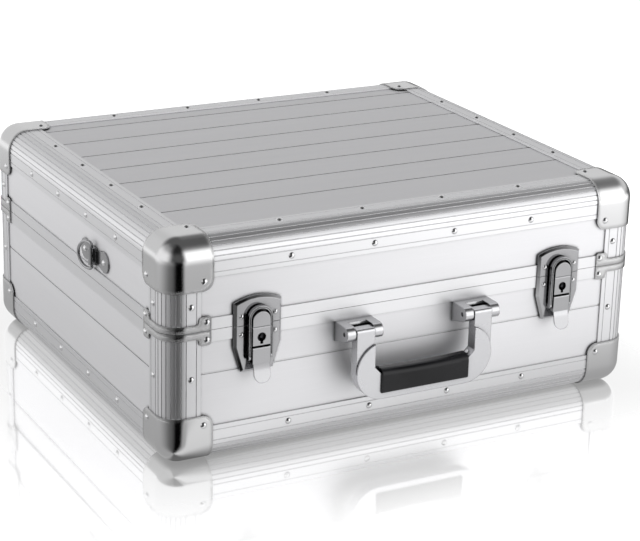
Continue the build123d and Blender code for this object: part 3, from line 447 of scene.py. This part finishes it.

# Stage: a white table that mirrors the case, and a soft room that shows in the metal, where the table
# glows as a painted reflection. Bearings are in degrees about the case, 0 in front of it and growing
# towards its left side.
WHITE, FLOOR_WHITE = (1.0, 1.0, 1.0, 1.0), (0.82, 0.82, 0.82, 1.0)
FLOOR_SIZE, FLOOR_DROP = 14.0, 0.0004
FLOOR_GLOW, FLOOR_VEIL = 0.56, 0.24
MIRROR_ROUGHNESS, MIRROR_SHARE, MIRROR_REACH = 0.05, 0.92, 0.25
CASE_HALF_WIDTH, CASE_HALF_DEPTH, CASE_MIDDLE_Y = 0.235, 0.205, 0.01
CASE_CORNER = (-0.236, -0.2)

# Painted reflection of the table in the metal: two bearings and the tones at them, around a dark wedge in
# front
FRONT_STEPS = ((-14, -8, 0.54, 0.0), (-38, -30, 0.46, 0.0))
RIGHT_FADE = (-115, -62, 0.2, 1.0)
OTHER_STEPS = ((-178, -150, 0.4, 0.0), (30, 40, 0.0, 0.12), (42, 130, 0.0, 0.43))
# The same by the distance from the case, with painted shadow near it, and darker beside its right side
NEAR_PAINTED_SHADOW, FAR_TABLE = (0.0, 0.16, 0.86, 1.02), (0.3, 1.1, 0.0, 1.1)
BESIDE_X, BESIDE_Y = (0.26, 0.36, 0.0, 0.7), (-0.17, -0.05, 0.0, 1.0)

# Room in the metal: wall and ceiling, a dark gap in front, a plain tone for further reflections
WALL_TOP, CEILING_START, WALL_TONE, CEILING_TONE = 25, 50, 0.80, 0.12
GAP, GAP_DEPTH = (-12, 48, 14), 0.88
SECOND_TONE, AMBIENT = 1.10, 0.62
FIRST_REFLECTION = 1.5
# Soft cards in that room: bearings, side fade, elevations, fade, added brightness
CARDS = (
    (-58, -22, 14, -4, 30, 22, 0.95),
    (74, 130, 12, -8, 52, 16, 0.32),
    (-146, -84, 12, -30, 2, 12, -0.65),
    (-130, -30, 20, 38, 52, 8, 0.15),
)
LAMP_AIM, LAMP_DISTANCE = Vector((0.0, 0.0, 0.1)), 2.0


class Stage(Nodes):
    """The nodes of the floor or the world, whose slopes ease in and out."""

    easing = "SMOOTHSTEP"

    def __init__(self, holder):
        holder.use_nodes = True
        super().__init__(holder.node_tree)
        self.tree.nodes.clear()

    def turn(self, bearing, low, high, to_low, to_high):
        """Ramp between two angles in degrees."""
        return self.ramp(bearing, radians(low), radians(high), to_low, to_high)

    def window(self, value, low, high, soft):
        """1 between two angles in degrees, falling to 0 over soft degrees outside them."""
        rise = self.turn(value, low - soft, low, 0.0, 1.0)
        fall = self.turn(value, high, high + soft, 1.0, 0.0)
        return self.math("MULTIPLY", rise, fall)

    def white(self, kind, strength):
        """White Emission or Background of a strength that is a number or a socket."""
        node = self.add(kind, Color=WHITE)
        self.put(strength, node.inputs["Strength"])
        return node.outputs[0]

    def sum(self, first, second):
        node = self.add("AddShader")
        self.link(first, node.inputs[0])
        self.link(second, node.inputs[1])
        return node.outputs[0]

    def mix(self, factor, first, second):
        node = self.add("MixShader")
        self.link(factor, node.inputs["Fac"])
        self.link(first, node.inputs[1])
        self.link(second, node.inputs[2])
        return node.outputs[0]


def distance_from_case(tree, x, y):
    """Distance on the floor from the case's outline."""
    off_middle = tree.math("ABSOLUTE", tree.math("SUBTRACT", y, CASE_MIDDLE_Y))
    beyond_x = tree.math("SUBTRACT", tree.math("ABSOLUTE", x), CASE_HALF_WIDTH, clamp=True)
    beyond_y = tree.math("SUBTRACT", off_middle, CASE_HALF_DEPTH, clamp=True)
    square_x = tree.math("MULTIPLY", beyond_x, beyond_x)
    square_y = tree.math("MULTIPLY", beyond_y, beyond_y)
    return tree.math("SQRT", tree.math("ADD", square_x, square_y))


def seen_floor(tree, path, distance):
    """Matte white floor that mirrors the case near it, under a thin white veil."""
    matte = tree.add("BsdfDiffuse", Color=FLOOR_WHITE)
    glow = tree.math("MULTIPLY", path.outputs["Is Camera Ray"], FLOOR_GLOW)
    lit = tree.sum(matte.outputs[0], tree.white("Emission", glow))
    mirror = tree.add("BsdfGlossy", Roughness=MIRROR_ROUGHNESS)
    shine = tree.ramp(distance, 0.0, MIRROR_REACH, MIRROR_SHARE, 0.0)
    veil = tree.white("Emission", tree.math("MULTIPLY", shine, FLOOR_VEIL))
    return tree.sum(tree.mix(shine, lit, mirror.outputs[0]), veil)


def painted_table_reflection(tree, x, y, distance):
    """Painted reflection: how bright the table glows in the metal, by bearing from the front left corner
    and distance.
    """
    corner_x, corner_y = CASE_CORNER
    bearing = tree.math("ARCTAN2", tree.math("SUBTRACT", corner_x, x), tree.math("SUBTRACT", corner_y, y))
    front = tree.math("ADD", *[tree.turn(bearing, *step) for step in FRONT_STEPS])
    around = tree.math("MULTIPLY", front, tree.turn(bearing, *RIGHT_FADE))
    for step in OTHER_STEPS:
        around = tree.math("ADD", around, tree.turn(bearing, *step))
    outward = tree.math("ADD", tree.ramp(distance, *NEAR_PAINTED_SHADOW), tree.ramp(distance, *FAR_TABLE))
    beside = tree.math("MULTIPLY", tree.ramp(x, *BESIDE_X), tree.ramp(y, *BESIDE_Y))
    outward = tree.math("MULTIPLY", outward, tree.math("SUBTRACT", 1.0, beside))
    return tree.math("MULTIPLY", tree.math("MINIMUM", around, 1.0), outward)


def stage_floor():
    size = FLOOR_SIZE
    corners = [(-size, -size, 0), (size, -size, 0), (size, size, 0), (-size, size, 0)]
    mesh = bpy.data.meshes.new("floor")
    mesh.from_pydata(corners, [], [(0, 1, 2, 3)])
    floor = bpy.data.objects.new("floor", mesh)
    floor.location.z = -FLOOR_DROP
    scene.collection.objects.link(floor)
    material = bpy.data.materials.new("floor_white")
    mesh.materials.append(material)
    tree = Stage(material)
    path = tree.add("LightPath")
    parts = tree.add("SeparateXYZ")
    tree.link(tree.add("TexCoord").outputs["Object"], parts.inputs[0])
    x, y = parts.outputs["X"], parts.outputs["Y"]
    distance = distance_from_case(tree, x, y)
    seen = seen_floor(tree, path, distance)
    # Painted reflection: glossy rays see the table as a glow of these tones, not as the lit floor
    table = tree.white("Emission", painted_table_reflection(tree, x, y, distance))
    output = tree.add("OutputMaterial")
    tree.link(tree.mix(path.outputs["Is Glossy Ray"], seen, table), output.inputs["Surface"])


def room_tone(tree):
    """Brightness of the room in the metal, by bearing and elevation."""
    parts = tree.add("SeparateXYZ")
    tree.link(tree.add("TexCoord").outputs["Generated"], parts.inputs[0])
    x, y, z = parts.outputs
    bearing = tree.math("ARCTAN2", tree.math("MULTIPLY", x, -1.0), tree.math("MULTIPLY", y, -1.0))
    rise = tree.math("ARCSINE", z)
    wall = tree.turn(rise, WALL_TOP, CEILING_START, WALL_TONE, CEILING_TONE)
    gap = tree.math("MULTIPLY", tree.window(bearing, *GAP), GAP_DEPTH)
    tone = tree.math("MULTIPLY", wall, tree.math("SUBTRACT", 1.0, gap))
    for low, high, side, bottom, top, fade, strength in CARDS:
        across = tree.window(bearing, low, high, side)
        upward = tree.window(rise, bottom, top, fade)
        card = tree.math("MULTIPLY", tree.math("MULTIPLY", across, upward), strength)
        tone = tree.math("ADD", tone, card)
    return tone


def stage_world():
    """White to the camera, the soft room to the metal, and an even light to the rest."""
    world = bpy.data.worlds.new("studio")
    tree = Stage(world)
    path = tree.add("LightPath")
    further = tree.math("GREATER_THAN", path.outputs["Glossy Depth"], FIRST_REFLECTION)
    first = tree.math("MULTIPLY", room_tone(tree), tree.math("SUBTRACT", 1.0, further))
    strength = tree.math("ADD", first, tree.math("MULTIPLY", further, SECOND_TONE))
    reflected = tree.white("Background", strength)
    ambient = tree.white("Background", AMBIENT)
    backdrop = tree.white("Background", 1.0)
    unseen = tree.mix(path.outputs["Is Glossy Ray"], ambient, reflected)
    output = tree.add("OutputWorld")
    tree.link(tree.mix(path.outputs["Is Camera Ray"], unseen, backdrop), output.inputs["Surface"])
    scene.world = world


def softbox(name, bearing, elevation, width, height, radiance):
    """Area lamp of a given brightness that faces the case and doesn't show in the metal."""
    side, rise = radians(bearing), radians(elevation)
    toward = Vector((-sin(side) * cos(rise), -cos(side) * cos(rise), sin(rise)))
    data = bpy.data.lights.new(name, "AREA")
    data.shape = "RECTANGLE"
    data.size = width
    data.size_y = height
    data.energy = radiance * pi * width * height
    light = bpy.data.objects.new(name, data)
    light.location = LAMP_AIM + toward * LAMP_DISTANCE
    light.rotation_euler = toward.to_track_quat("Z", "Y").to_euler()
    light.visible_glossy = False
    scene.collection.objects.link(light)


stage_floor()
stage_world()
softbox("softbox_front", -45, 40, 2.0, 1.9, 1.9)
softbox("softbox_back", 158, 40, 1.3, 0.7, 1.7)

scene.view_settings.view_transform = "Standard"
